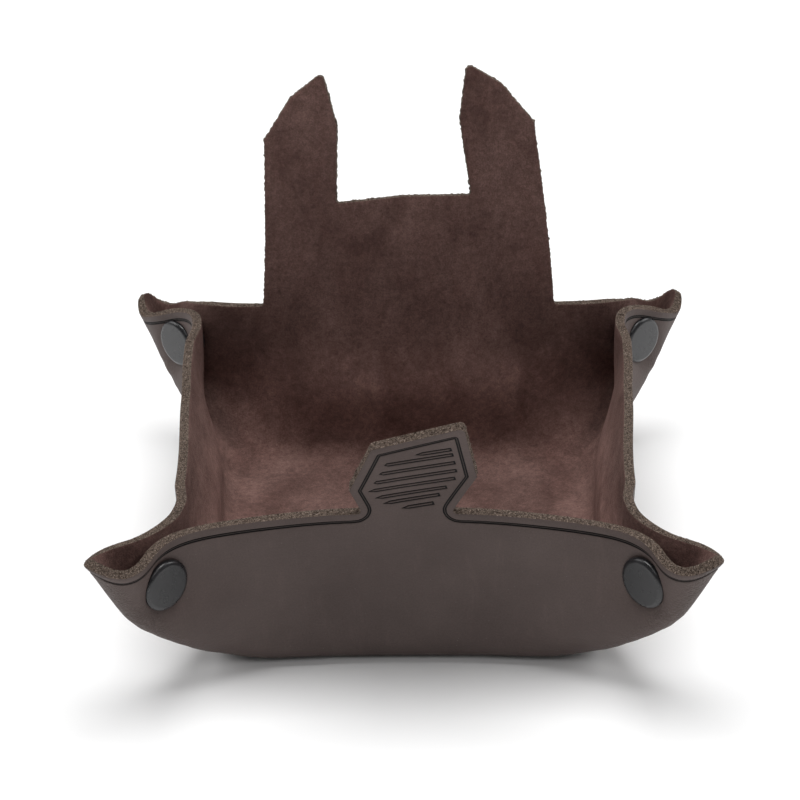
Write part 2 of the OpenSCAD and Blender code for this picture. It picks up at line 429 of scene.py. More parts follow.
    def newton_step(self, diagonal, upper, force, damping):
        right = np.zeros((self.blocks, self.width))
        for c in range(3):
            right[self.block, self.place * 3 + c] = -force[:, c]
        spot = np.arange(self.width)
        diagonal[:, spot, spot] += damping
        carried = np.zeros_like(upper)
        step = np.zeros_like(right)
        for b in range(self.blocks):
            if b > 0:
                diagonal[b] -= upper[b - 1].T @ carried[b - 1]
                right[b] -= upper[b - 1].T @ step[b - 1]
            both = np.concatenate([upper[b], right[b][:, None]], axis=1)
            solved = np.linalg.solve(diagonal[b], both)
            carried[b], step[b] = solved[:, :-1], solved[:, -1]
        for b in range(self.blocks - 2, -1, -1):
            step[b] -= carried[b] @ step[b + 1]
        return np.stack([step[self.block, self.place * 3 + c] for c in range(3)], 1)

    def solve(self):
        damping = 1e-3
        for _ in range(self.STEPS):
            total, force, diagonal, upper = self.energy(self.x, blocks=True)
            step = self.newton_step(diagonal, upper, force, damping)
            biggest = np.abs(step).max()
            share = min(1.0, 6.0 / biggest)
            slope = np.sum(force * step)
            for _ in range(12):
                if self.energy(self.x + share * step)[0] <= total + 1e-4 * share * slope:
                    break
                share *= 0.5
            self.x = self.x + share * step
            damping = min(damping * 4, 1.0) if share < 0.1 else max(damping * 0.5, 1e-5)
            if biggest * share < 5e-3:
                break
        self.settle()
        return self

    def settle(self):
        """Wear that the springs don't show: shorter and closer ears, squarer and fuller folds."""
        u, v = self.flat[:, 0], np.abs(self.flat[:, 1])
        side = np.sign(self.flat[:, 1])
        self.shape_ears(u, v, side)
        self.shape_folds(u, v, side)
        self.spread_side_walls(u, self.flat[:, 1])
        self.x[:, 2] = np.maximum(self.x[:, 2], LEATHER_T / 2)

    def shape_ears(self, u, v, side):
        x = self.x
        along = (x[:, 0] + np.abs(x[:, 1])) / sqrt(2)
        ear = (np.minimum(u, v) > 40) & (v <= SHEET_HALF + 0.1)
        gap = (side * x[:, 1] - x[:, 0]) / sqrt(2)
        share = np.where(side > 0, self.EAR_CLOSE, 0.4 * self.EAR_CLOSE)
        close = share * rise(along, self.CLOSE_SPAN) * ear * gap / sqrt(2)
        pull = self.EAR_PULL * rise(along, self.PULL_SPAN) * ear / sqrt(2)
        x[:, 0] += close - pull
        x[:, 1] -= side * (close + pull)
        x[:, 2] -= self.EAR_DROOP * rise(along, self.DROOP_SPAN) * (ear & (side > 0))

    def shape_folds(self, u, v, side):
        x = self.x
        for axis, out, across, sign in ((1, v, u, side), (0, u, v, 1)):
            push = rise(out, self.FOLD_IN) * (1 - rise(out, self.FOLD_OUT))
            push = push * (1 - rise(across, self.FOLD_ENDS)) * (out >= across)
            x[:, axis] += sign * self.FOLD_PUSH * push
            x[:, 2] -= 0.25 * self.FOLD_PUSH * push
        across, out = np.minimum(u, v), np.maximum(u, v)
        full = rise(across, self.CORNER_IN) * (1 - rise(across, self.CORNER_OUT))
        full = full * rise(out, self.CORNER_LOW) * (1 - rise(out - across, self.CORNER_SIDE))
        x[:, 0] += 0.45 * self.CORNER_PUSH * full
        x[:, 1] += 0.45 * self.CORNER_PUSH * full * side
        x[:, 2] -= 0.7 * self.CORNER_PUSH * full

    def spread_side_walls(self, u, v):
        """The side walls lean further out in the middle, and turn in beside the front ears."""
        start = self.SPREAD_START
        high = np.clip((u - start) / (SHEET_HALF - start), 0, 1) * (u >= np.abs(v))
        from_middle = np.abs(v - self.SPREAD_MIDDLE)
        spread = self.SIDE_SPREAD * (1 - rise(from_middle, self.SPREAD_SPAN))
        tuck = rise(np.abs(v), self.TUCK_IN) * (1 - rise(np.abs(v), self.TUCK_OUT))
        move = (spread - self.SIDE_TUCK * tuck) * high
        self.x[:, 0] += move
        self.x[:, 2] -= 0.3 * move


# ---------------------------------------------------------------- a smooth surface through the grid

class Surface:
    """Maps a point of the flat sheet to the middle of the shaped leather."""

    PAD = 3

    def __init__(self, solver):
        n, pad = solver.cells, self.PAD
        self.h, self.low, self.middle = solver.h, solver.low - pad, n + pad
        rows = solver.high - solver.low + 1 + 2 * pad
        grid = np.full((n + 1 + pad, rows, 3), np.nan)
        for (i, j), point in solver.index.items():
            grid[i, j - self.low] = solver.x[point]
        self.extend(grid)
        mirrored = grid[:0:-1] * np.array([-1, 1, 1])
        self.grid = np.concatenate([mirrored, grid])

    @staticmethod
    def extend(grid):
        """Fills the empty points around the sheet by carrying on straight from its edge."""
        width, rows = grid.shape[:2]
        for _ in range(width + rows):
            empty = np.argwhere(np.isnan(grid[..., 0]))
            if len(empty) == 0:
                return
            found = []
            for i, j in empty:
                guesses = []
                for di, dj in ((-1, 0), (1, 0), (0, -1), (0, 1)):
                    far_i, far_j = i + 2 * di, j + 2 * dj
                    if 0 <= far_i < width and 0 <= far_j < rows:
                        guess = 2 * grid[i + di, j + dj] - grid[far_i, far_j]
                        if not np.isnan(guess[0]):
                            guesses.append(guess)
                if guesses:
                    found.append((i, j, np.mean(guesses, axis=0)))
            for i, j, value in found:
                grid[i, j] = value

    @staticmethod
    def weights(t):
        value = [-t**3 + 2*t**2 - t, 3*t**3 - 5*t**2 + 2, -3*t**3 + 4*t**2 + t, t**3 - t**2]
        slope = [-3*t**2 + 4*t - 1, 9*t**2 - 10*t, -9*t**2 + 8*t + 1, 3*t**2 - 2*t]
        return 0.5 * np.stack(value), 0.5 * np.stack(slope)

    def at(self, flat):
        """Position and the two surface directions at each flat point."""
        u, v = flat[:, 0] / self.h + self.middle, flat[:, 1] / self.h - self.low
        i = np.clip(np.floor(u).astype(int), 1, self.grid.shape[0] - 3)
        j = np.clip(np.floor(v).astype(int), 1, self.grid.shape[1] - 3)
        wu, su = self.weights(u - i)
        wv, sv = self.weights(v - j)
        place = along_u = along_v = 0
        for a in range(4):
            for b in range(4):
                point = self.grid[i - 1 + a, j - 1 + b]
                place = place + (wu[a] * wv[b])[:, None] * point
                along_u = along_u + (su[a] * wv[b])[:, None] * point
                along_v = along_v + (wu[a] * sv[b])[:, None] * point
        return self.curled(flat[:, 1], place, along_u, along_v)

    def curled(self, v, place, along_u, along_v):
        """The tab curls a little outwards above the front wall."""
        angle, shift = bend_away(np.maximum(-SHEET_HALF - v, 0), TAB_CURL, TAB_RAMP)
        inward = unit_rows(np.cross(along_u, along_v))
        along_v = along_v + inward * (angle * self.h)[:, None]
        return place - inward * shift[:, None], along_u, along_v


def leaned(flat):
    """The tall panel leans a little to the left above the wall, as the real one does."""
    angle, shift = bend_away(np.maximum(flat[:, 1] - SHEET_HALF, 0), PANEL_LEAN, LEAN_RAMP)
    return np.stack([flat[:, 0] - shift, flat[:, 1] + angle * flat[:, 0]], 1)


# ---------------------------------------------------------------- the cut outline

def sheet_corners():
    """Corners of the whole cut outline, anticlockwise: [x, y, radius]."""
    front = [[x, -SHEET_HALF - y, r] for x, y, r in TAB]
    right_half = [[x, SHEET_HALF + y, r] for x, y, r in PANEL]
    left_half = [[-x, y, r] for x, y, r in reversed(right_half[:-1])]
    ear = SHEET_HALF
    return (
        [[-ear, -ear, EAR_R]] + front + [[ear, -ear, EAR_R], [ear, ear, EAR_R]]
        + right_half + left_half + [[-ear, ear, EAR_R]]
    )


def bends_in(a, b, c):
    return (b[0] - a[0]) * (c[1] - b[1]) - (b[1] - a[1]) * (c[0] - b[0]) < -1e-6


def inset_corners(corners, distance):
    """The outline moved inwards, with the border's own radii at its corners."""
    count = len(corners)
    moved = []
    for k, (x, y, r) in enumerate(corners):
        a, b = np.array(corners[k - 1][:2]), np.array([x, y])
        c = np.array(corners[(k + 1) % count][:2])
        before, after = (b - a) / np.linalg.norm(b - a), (c - b) / np.linalg.norm(c - b)
        left_before, left_after = np.array([-before[1], before[0]]), np.array([-after[1], after[0]])
        mitre = (left_before + left_after) / (1 + left_before @ left_after)
        extra = distance - BORDER_INSET
        if bends_in(a, b, c):
            radius = BORDER_ROOT_R + extra
        else:
            radius = max(r - distance, 0.45 - extra)
        moved.append([*(b + mitre * distance), radius if r > 0 else 0])
    return moved


def rounded(corners, steps=6):
    """Rounds each corner of a closed outline by its own radius."""
    points = []
    count = len(corners)
    for k, (x, y, r) in enumerate(corners):
        b = Vector((x, y))
        if r <= 0:
            points.append(b)
            continue
        back = (Vector(corners[k - 1][:2]) - b).normalized()
        on = (Vector(corners[(k + 1) % count][:2]) - b).normalized()
        half = acos(max(-1, min(1, back.dot(on)))) / 2
        centre = b + (back + on).normalized() * (r / sin(half))
        start = b + back * (r / tan(half)) - centre
        sweep = (pi - 2 * half) * (-1 if back.cross(on) > 0 else 1)
        for step in range(steps + 1):
            turn = Matrix.Rotation(sweep * step / steps, 2)
            points.append(centre + turn @ start)
    return points


def spaced(points, step):
    """Points at even steps along each straight of a closed outline."""
    out = []
    for k, b in enumerate(points):
        a = points[k - 1]
        parts = max(1, ceil((b - a).length / step))
        out += [a + (b - a) * (part / parts) for part in range(parts)]
    return [p for k, p in enumerate(out) if (p - out[k - 1]).length > 0.02]


def groove_slots(half):
    """Closed outline of each ruled groove at half its width: blunt on the right, some pointed."""
    way = Vector((cos(GROOVE_TILT), -sin(GROOVE_TILT)))
    side = Vector((way.y, -way.x))
    for x, y, length, taper in GROOVES:
        middle = Vector((x, -SHEET_HALF - y))
        start, end = middle - way * length / 2, middle + way * length / 2
        tip = start - way * (half * sqrt(1 + (taper / SLOT_HALVES[-1]) ** 2))
        yield [
            tip, start + way * taper - side * half,
            end + way * half - side * half, end + way * half + side * half,
            start + way * taper + side * half,
        ]


def distance_to_line(points, path):
    """Distance of each flat point from a closed line through many points."""
    a = np.array([tuple(p) for p in path])
    b = np.roll(a, -1, axis=0)
    best = np.full(len(points), np.inf)
    for start in range(0, len(points), 2000):
        p = points[start:start + 2000, None, :]
        run = b - a
        t = np.clip(np.sum((p - a) * run, -1) / np.sum(run * run, -1), 0, 1)
        gap = np.linalg.norm(p - a - t[..., None] * run, axis=-1)
        best[start:start + 2000] = gap.min(1)
    return best


class FlatCut:
    """The flat sheet as triangles, with lines of points along its edges, engraving and seams."""

    EDGE_STEP = 0.32
    LINE_STEP = 1.1
    SLOT_STEP = 0.6
    CELL = 1.6
    FINE_CELL = 0.8

    def __init__(self):
        self.points, self.edges = [], []
        self.corners = sheet_corners()
        self.outline = spaced(rounded(self.corners), self.EDGE_STEP)
        self.border = spaced(rounded(inset_corners(self.corners, BORDER_INSET)), 0.5)
        self.add_loop(self.outline)
        self.add_loop(spaced(rounded(self.corners_inside(0.4)), 0.9))
        for offset in LINE_OFFSETS:
            inside = inset_corners(self.corners, BORDER_INSET + offset)
            self.add_loop(spaced(rounded(inside), self.LINE_STEP))
        self.add_grooves()
        self.add_seams()
        self.add_inner_points()
        self.triangulate()

    def corners_inside(self, distance):
        corners = inset_corners(self.corners, distance)
        return [[x, y, max(r, 0.3) if r > 0 else 0] for x, y, r in corners]

    def add_loop(self, points):
        first = len(self.points)
        count = len(points)
        self.points += [(p[0], p[1]) for p in points]
        self.edges += [(first + k, first + (k + 1) % count) for k in range(count)]

    def add_line(self, start, end, step):
        start, end = np.array(start, float), np.array(end, float)
        parts = max(1, ceil(np.linalg.norm(end - start) / step))
        first = len(self.points)
        self.points += [tuple(start + (end - start) * k / parts) for k in range(parts + 1)]
        self.edges += [(first + k, first + k + 1) for k in range(parts)]

    def add_grooves(self):
        for half in SLOT_HALVES:
            for slot in groove_slots(half):
                self.add_loop(spaced(slot, self.SLOT_STEP))

    def add_seams(self):
        top_fold = fold_x(SHEET_HALF)
        ear = SHEET_HALF - EAR_R * (1 - sqrt(0.5))
        for sx in (-1, 1):
            self.add_line((sx * BASE_EDGE, -BASE_EDGE), (sx * BASE_EDGE, BASE_EDGE), 1.5)
            self.add_line((-BASE_EDGE, sx * BASE_EDGE), (BASE_EDGE, sx * BASE_EDGE), 1.5)
            for sy in (-1, 1):
                self.add_line((sx * BASE_EDGE, sy * BASE_EDGE), (sx * ear, sy * ear), 0.8)
                for swap in (1, -1):
                    for a, b in (
                        ((fold_x(FLAP_START), FLAP_START), (FLAP_START, FLAP_START)),
                        ((fold_x(FLAP_START), FLAP_START), (top_fold, SHEET_HALF)),
                    ):
                        a, b = a[::swap], b[::swap]
                        self.add_line((sx * a[0], sy * a[1]), (sx * b[0], sy * b[1]), 1.2)

    def add_inner_points(self):
        """Fills the sheet with an even mesh, finer along the folded ears."""
        tree = kdtree.KDTree(len(self.points))
        for k, p in enumerate(self.points):
            tree.insert((p[0], p[1], 0), k)
        tree.balance()
        reach = SHEET_HALF + max(p[1] for p in PANEL) + 1
        fresh = []
        for cell, fine in ((self.CELL, False), (self.FINE_CELL, True)):
            rows = int(2 * reach / (cell * sqrt(0.75)))
            for row in range(rows):
                v = -reach + row * cell * sqrt(0.75)
                for column in range(int(2 * (SHEET_HALF + 1) / cell)):
                    u = -SHEET_HALF - 1 + (column + 0.5 * (row % 2)) * cell
                    near_crease = min(abs(u), abs(v)) > 42 and abs(abs(u) - abs(v)) < 6.5
                    if near_crease == fine and tree.find((u, v, 0))[2] > 0.55 * cell:
                        fresh.append((u, v))
        self.points += fresh

    def triangulate(self):
        cut = delaunay_2d_cdt([Vector(p) for p in self.points], self.edges, [], 1, 1e-4)
        self.flat = np.array([tuple(p) for p in cut[0]])
        self.triangles = np.array([tuple(f) for f in cut[2]])
        new_of = {}
        for new, olds in enumerate(cut[3]):
            for old in olds:
                new_of[old] = new
        self.rim = [new_of[k] for k in range(len(self.outline))]


def fold_x(height):
    """How far out the fold between a wall and its flap is, at a distance from the centre."""
    return FLAP_FOLD_X + (height - FLOOR_HALF) * tan(FLARE)


def zone(u, v):
    """The body that a point of the flat sheet belongs to."""
    across, out = sorted((abs(u), abs(v)))
    if out < BASE_EDGE:
        return "base"
    end_walls = abs(v) > abs(u)
    wall = ("front" if v < 0 else "back") if end_walls else ("left" if u < 0 else "right")
    if out < FLAP_START or across < fold_x(out):
        return wall + "_wall"
    corner = ("front" if v < 0 else "back") + ("_left" if u < 0 else "_right")
    kind = "cap" if end_walls == (v < 0) else "stud"
    return f"{corner}_{kind}_flap"


# ---------------------------------------------------------------- the leather as solid pieces

class Leather:
    """Both faces and the rough cut edge of the shaped sheet, ready to be split into pieces."""

    EDGE_ROWS = 8
    SINK, SINK_SPAN = 1.0, (5.3, 0.8)
    PRESS, PRESS_SPAN = 0.25, (6.4, 1.6)
    GRAIN_ROUND, GRAIN_ROUND_W = 0.16, 0.45
    SUEDE_ROUND, SUEDE_ROUND_W = 0.14, 0.5
    CREASE_SIDE, CREASE_START = (1, 9), (36, 16)
    CROWN, COARSE_TEAR, FINE_TEAR = 0.12, 0.22, 0.42
    PLY_CLEARANCE = 0.04

    def __init__(self, cut, surface):
        self.cut = cut
        flat = cut.flat
        place, along_u, along_v = surface.at(leaned(flat))
        self.inward = unit_rows(np.cross(along_u, along_v))
        self.along_u, self.along_v = unit_rows(along_u), unit_rows(along_v)
        self.rim_gap = distance_to_line(flat, cut.outline)
        self.engraved = self.engraving(flat)
        self.creased = self.creasing(flat)
        grain = place - self.inward * (LEATHER_T / 2 - self.grain_drop(flat))[:, None]
        suede = place + self.inward * (LEATHER_T / 2 - self.suede_drop(flat))[:, None]
        self.grain, self.suede = grain, self.kept_apart(flat, suede)
        self.grain_normals = self.face_normals(self.grain, -1)
        self.suede_normals = self.face_normals(self.suede, 1)
        self.roughen_rim()

    def engraving(self, flat):
        """Burnt depth in millimetres: a border of two lines, and the outlines of the slots."""
        middle = len(LINE_OFFSETS) // 2
        gap = distance_to_line(flat, self.cut.border)
        depth = np.interp(gap, LINE_OFFSETS[middle:], LINE_DEPTHS[middle:])
        for half in SLOT_HALVES[1:3]:
            for slot in groove_slots(half):
                gap = distance_to_line(flat, slot)
                depth = np.maximum(depth, LINE_DEPTHS[1] * (1 - smooth(gap / SLOT_LINE_FADE)))
        return depth

    def creasing(self, flat):
        """From 0 to 1 where the folded ears crease the grain along the diagonals, and where the suede
        gets painted shade inside the ears.
        """
        across, out = np.abs(flat).min(1), np.abs(flat).max(1)
        near = 1 - rise(out - across, self.CREASE_SIDE)
        return near * rise(across, self.CREASE_START) * (out < SHEET_HALF + 1)

    def from_snap(self, flat):
        """Distance of each flat point from the nearest snap's centre."""
        a, b = SHEET_HALF - HOLE_FROM_SIDE, SHEET_HALF - HOLE_FROM_TOP
        far = np.abs(flat)
        return np.minimum(
            np.hypot(far[:, 0] - a, far[:, 1] - b), np.hypot(far[:, 0] - b, far[:, 1] - a)
        )

    def grain_drop(self, flat):
        press = self.PRESS * (1 - rise(self.from_snap(flat), self.PRESS_SPAN))
        edge = self.GRAIN_ROUND * (1 - smooth(self.rim_gap / self.GRAIN_ROUND_W))
        return self.engraved + press + edge

    def suede_drop(self, flat):
        sink = self.SINK * (1 - rise(self.from_snap(flat), self.SINK_SPAN))
        edge = self.SUEDE_ROUND * (1 - smooth(self.rim_gap / self.SUEDE_ROUND_W))
        return sink + edge

    def kept_apart(self, flat, points):
        """Two plies of one corner touch on its diagonal plane, and neither passes it."""
        points = points.copy()
        sign = np.sign(flat)
        in_corner = (np.abs(flat).min(1) > FLOOR_HALF - 4) & (np.abs(flat).max(1) < SHEET_HALF + 1)
        ply = np.sign(np.round(np.abs(flat[:, 1]) - np.abs(flat[:, 0]), 4))
        across = np.stack([-sign[:, 0], sign[:, 1]], 1) / sqrt(2)
        gap = np.sum(points[:, :2] * across, 1)
        wanted = np.where(ply == 0, 0.0, np.maximum(gap * ply, self.PLY_CLEARANCE) * ply)
        points[:, :2] += np.where(in_corner, wanted - gap, 0)[:, None] * across
        return points

    def face_normals(self, points, sign):
        normals = np.zeros_like(points)
        a, b, c = (points[self.cut.triangles[:, k]] for k in range(3))
        turned = np.cross(b - a, c - a) * sign
        for k in range(3):
            np.add.at(normals, self.cut.triangles[:, k], turned)
        return unit_rows(normals)

    def roughen_rim(self):
        """Rows of points across the cut edge, crowned and torn like a raw leather edge."""
        rim = np.array(self.cut.rim)
        flat = self.cut.flat[rim]
        on = unit_rows(np.roll(flat, -1, axis=0) - np.roll(flat, 1, axis=0))
        out = unit_rows(self.along_u[rim] * on[:, 1:] - self.along_v[rim] * on[:, :1])
        self.rim_out = out
        self.rows = []
        for row in range(1, self.EDGE_ROWS):
            share = row / self.EDGE_ROWS
            points = self.grain[rim] * (1 - share) + self.suede[rim] * share
            crown = self.CROWN * sin(pi * share)
            tear = np.array([
                self.COARSE_TEAR * noise.noise(Vector((u * 0.8, v * 0.8, share * 2.2)))
                + self.FINE_TEAR * noise.noise(Vector((u * 1.9 + 7, v * 1.9, share * 4.8)))
                for u, v in flat
            ])
            calm = min(1.0, 4 * share)
            self.rows.append(points + out * (crown + calm * tear)[:, None])


def piece_mesh(name, leather, triangles):
    """One closed solid of leather between the seams that bound these triangles."""
    cut = leather.cut
    rim_place = {point: k for k, point in enumerate(cut.rim)}
    rim_count = len(cut.rim)
    used = np.unique(triangles)
    count = len(used)
    new = {old: k for k, old in enumerate(used)}
    points = np.concatenate([leather.grain[used], leather.suede[used]])
    normals = np.concatenate([leather.grain_normals[used], leather.suede_normals[used]])
    sheet = np.concatenate([cut.flat[used], cut.flat[used]])
    sheet = np.column_stack([sheet, np.repeat([0.0, LEATHER_T], count)])
    engraved = np.concatenate([leather.engraved[used] / max(LINE_DEPTHS), np.zeros(count)])
    creased = np.concatenate([leather.creased[used], leather.creased[used]])
    faces = [[new[c], new[b], new[a]] for a, b, c in triangles]
    faces += [[new[a] + count, new[b] + count, new[c] + count] for a, b, c in triangles]
    kinds = [0] * len(triangles) + [1] * len(triangles)

    edges = {}
    for a, b, c in triangles:
        for pair in ((a, b), (b, c), (c, a)):
            edges[pair] = True
    open_edges = [pair for pair in edges if pair[::-1] not in edges]
    extra_points, extra_sheet, extra_normals, columns = [], [], [], {}

    def column(point):
        """Points across the cut edge, from the grain to the suede."""
        if point not in columns:
            k = rim_place[point]
            first = 2 * count + len(extra_points)
            for row, line in enumerate(leather.rows):
                extra_points.append(line[k])
                depth = LEATHER_T * (row + 1) / leather.EDGE_ROWS
                extra_sheet.append((*cut.flat[point], depth))
                extra_normals.append(leather.rim_out[k])
            middle = list(range(first, first + len(leather.rows)))
            columns[point] = [new[point]] + middle + [new[point] + count]
        return columns[point]

    for a, b in open_edges:
        on_rim = (
            a in rim_place and b in rim_place
            and (rim_place[b] - rim_place[a]) % rim_count == 1
        )
        if on_rim:
            left, right = column(a), column(b)
            for k in range(len(left) - 1):
                faces.append([left[k], right[k], right[k + 1], left[k + 1]])
        else:
            faces.append([new[a], new[b], new[b] + count, new[a] + count])
    kinds += [2] * (len(faces) - len(kinds))

    if extra_points:
        points = np.concatenate([points, np.array(extra_points)])
        normals = np.concatenate([normals, np.array(extra_normals)])
        sheet = np.concatenate([sheet, np.array(extra_sheet)])
        engraved = np.concatenate([engraved, np.zeros(len(extra_points))])
        creased = np.concatenate([creased, np.zeros(len(extra_points))])
    mesh = bpy.data.meshes.new(name)
    mesh.from_pydata((points * MM).tolist(), [], faces)
    mesh.polygons.foreach_set("material_index", kinds)
    mesh.attributes.new("sheet", "FLOAT_VECTOR", "POINT").data.foreach_set("vector", sheet.ravel())
    mesh.attributes.new("engraved", "FLOAT", "POINT").data.foreach_set("value", engraved)
    mesh.attributes.new("creased", "FLOAT", "POINT").data.foreach_set("value", creased)
    mesh.update()
    mesh.shade_smooth()
    loop_vertex = np.zeros(len(mesh.loops), int)
    mesh.loops.foreach_get("vertex_index", loop_vertex)
    flat_faces = np.repeat(np.array(kinds) == 2, [len(face) for face in faces])
    face_normals = np.array([p.normal for p in mesh.polygons])
    per_loop = np.repeat(face_normals, [len(face) for face in faces], axis=0)
    shaded = np.where(flat_faces[:, None], per_loop, normals[loop_vertex])
    mesh.normals_split_custom_set(shaded.tolist())
    return new_object(name, mesh)


def in_frame(surface, u, v):
    """A point of the flat sheet's middle, in the frame, in metres."""
    return tuple(surface.at(leaned(np.array([[u, v]], float)))[0][0] * MM)


def follow_bodies(obj, body, surface):
    """Attaches a piece of the base to the base body; any other piece is only baked in place, and the
    points found beside its fold are not used.
    """
    if body == "base":
        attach(obj, "base")
    elif body.endswith("_wall"):
        x, y = {"front": (0, -1), "back": (0, 1), "left": (-1, 0), "right": (1, 0)}[body[:-5]]
        start = in_frame(surface, x * WALL_BLEND[0], y * WALL_BLEND[0])
        end = in_frame(surface, x * WALL_BLEND[1], y * WALL_BLEND[1])
        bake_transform(obj)
    else:
        joint = JOINTS[body + "_fold"]
        u = 1 if "right" in body else -1
        v = 1 if "back" in body else -1
        height = SHEET_HALF - 0.45 * WALL_H
        near = (fold_x(height), height), (fold_x(height) + FLAP_BLEND, height)
        if joint["parent"] in ("left_wall", "right_wall"):
            near = [pair[::-1] for pair in near]
        start, end = (in_frame(surface, u * a, v * b) for a, b in near)
        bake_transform(obj)


# ---------------------------------------------------------------- materials

GRAIN_DARK, GRAIN_LIGHT = (0.080, 0.058, 0.053), (0.106, 0.079, 0.072)
SUEDE_DARK, SUEDE_LIGHT = (0.092, 0.049, 0.042), (0.165, 0.097, 0.084)


class Nodes:
    """Short names for building a material's node tree."""

    def __init__(self, name):
        self.material = bpy.data.materials.new(name)
        self.material.use_nodes = True
        self.tree = self.material.node_tree
        self.shader = self.tree.nodes["Principled BSDF"]

    def add(self, kind, inputs=None, **settings):
        node = self.tree.nodes.new(kind)
        for key, value in settings.items():
            setattr(node, key, value)
        for key, value in (inputs or {}).items():
            self.put(node.inputs[key], value)
        return node

    def put(self, socket, value):
        if isinstance(value, bpy.types.NodeSocket):
            self.tree.links.new(value, socket)
        else:
            socket.default_value = value

    def set(self, **values):
        for key, value in values.items():
            self.put(self.shader.inputs[key.replace("_", " ")], value)

    def attribute(self, name, output):
        return self.add("ShaderNodeAttribute", attribute_name=name).outputs[output]

    def noise(self, vector, scale, detail=4.0, rough=0.6, distortion=0.0):
        node = self.add(
            "ShaderNodeTexNoise",
            {"Vector": vector, "Scale": scale, "Detail": detail, "Roughness": rough,
             "Distortion": distortion},
        )
        return node.outputs["Fac"]

    def voronoi(self, vector, scale, feature="F1", randomness=1.0):
        node = self.add(
            "ShaderNodeTexVoronoi",
            {"Vector": vector, "Scale": scale, "Randomness": randomness}, feature=feature,
        )
        return node.outputs["Distance"]

    def stretch(self, vector, scale):
        node = self.add("ShaderNodeMapping", {"Vector": vector, "Scale": scale})
        return node.outputs["Vector"]

    def math(self, operation, a, b=0.5, c=0.0):
        node = self.add("ShaderNodeMath", operation=operation)
        for socket, value in zip(node.inputs, (a, b, c)):
            self.put(socket, value)
        return node.outputs[0]

    def ramp(self, value, stops):
        """Maps a value through (position, colour or grey) stops."""
        node = self.add("ShaderNodeValToRGB", {"Fac": value})
        elements = node.color_ramp.elements
        while len(elements) < len(stops):
            elements.new(0.5)
        for element, (position, colour) in zip(elements, stops):
            element.position = position
            grey = not hasattr(colour, "__len__")
            element.color = (colour, colour, colour, 1) if grey else (*colour, 1)
        return node.outputs["Color"]

    def from_middle(self, sheet):
        """Distance from the sheet's middle towards its nearest side, in units of 100 mm."""
        across = self.add("ShaderNodeSeparateXYZ", {"Vector": sheet}).outputs
        sides = [self.math("ABSOLUTE", across[axis]) for axis in ("X", "Y")]
        return self.math("MULTIPLY", self.math("MAXIMUM", *sides), 0.01)

    def mix(self, factor, a, b, blend="MIX"):
        node = self.add("ShaderNodeMix", data_type="RGBA", blend_type=blend)
        for socket, value in zip((node.inputs[0], node.inputs[6], node.inputs[7]), (factor, a, b)):
            colour = isinstance(value, tuple) and len(value) == 3
            self.put(socket, (*value, 1) if colour else value)
        return node.outputs[2]

    def times(self, first, *others):
        for other in others:
            first = self.mix(1.0, first, other, "MULTIPLY")
        return first

    def bump(self, height, strength, distance, normal=None):
        inputs = {"Height": height, "Strength": strength, "Distance": distance}
        if normal is not None:
            inputs["Normal"] = normal
        return self.add("ShaderNodeBump", inputs).outputs["Normal"]


def grain_material():
    """Smooth dark outside of the leather: fine pores, faint hairlines, burnt engraving."""
    n = Nodes("leather_grain")
    sheet = n.attribute("sheet", "Vector")
    burnt = n.ramp(n.attribute("engraved", "Fac"), [(0.12, 0.0), (0.5, 0.82), (0.8, 1.0)])
    clouds = n.noise(sheet, 0.035, 5, 0.62)
    speckle = n.noise(sheet, 2.4, 3, 0.7)
    rubbed = n.noise(n.stretch(sheet, (0.5, 0.12, 0.4)), 0.5, 5, 0.7, 0.8)
    tone = n.ramp(clouds, [(0.3, GRAIN_DARK), (0.7, GRAIN_LIGHT)])
    fine = n.ramp(speckle, [(0.32, 0.86), (0.68, 1.10)])
    # Lighter rubbed streaks of wear on the grain
    wear_and_painted_light = n.ramp(rubbed, [(0.55, 1.0), (0.78, 1.16)])
    colour = n.times(tone, fine, wear_and_painted_light)
    creased = n.attribute("creased", "Fac")
    cracks = n.voronoi(n.stretch(sheet, (1.0, 1.0, 0.6)), 0.95, "DISTANCE_TO_EDGE")
    scuffs = n.noise(sheet, 1.9, 5, 0.8, 0.8)
    scuffed = n.math("MULTIPLY", creased, n.ramp(scuffs, [(0.50, 0.0), (0.66, 1.0)]))
    colour = n.mix(n.math("MULTIPLY", scuffed, 0.55), colour, (0.17, 0.145, 0.13))
    dust = n.ramp(n.voronoi(sheet, 0.42), [(0.035, 1.0), (0.06, 0.0)])
    colour = n.mix(n.math("MULTIPLY", dust, 0.35), colour, (0.22, 0.20, 0.19))
    colour = n.mix(burnt, colour, (0.0015, 0.001, 0.001))
    pores = n.voronoi(sheet, 1.7, "SMOOTH_F1")
    wrinkles = n.noise(n.stretch(sheet, (0.3, 0.8, 0.6)), 1.2, 6, 0.7, 0.7)
    rough = n.ramp(speckle, [(0.3, 0.50), (0.7, 0.64)])
    normal = n.bump(wrinkles, 0.30, 0.00035)
    normal = n.bump(pores, 0.14, 0.0002, normal)
    normal = n.bump(n.noise(sheet, 5.0, 2), 0.16, 0.0001, normal)
    pitted = n.math("MULTIPLY", creased, n.ramp(cracks, [(0.0, 0.0), (0.22, 1.0)]))
    pitted = n.math("ADD", pitted, n.math("MULTIPLY", creased, scuffs))
    normal = n.bump(pitted, 0.7, 0.00035, normal)
    n.set(Base_Color=colour, Roughness=rough, Normal=normal, Specular_IOR_Level=0.22)
    return n.material


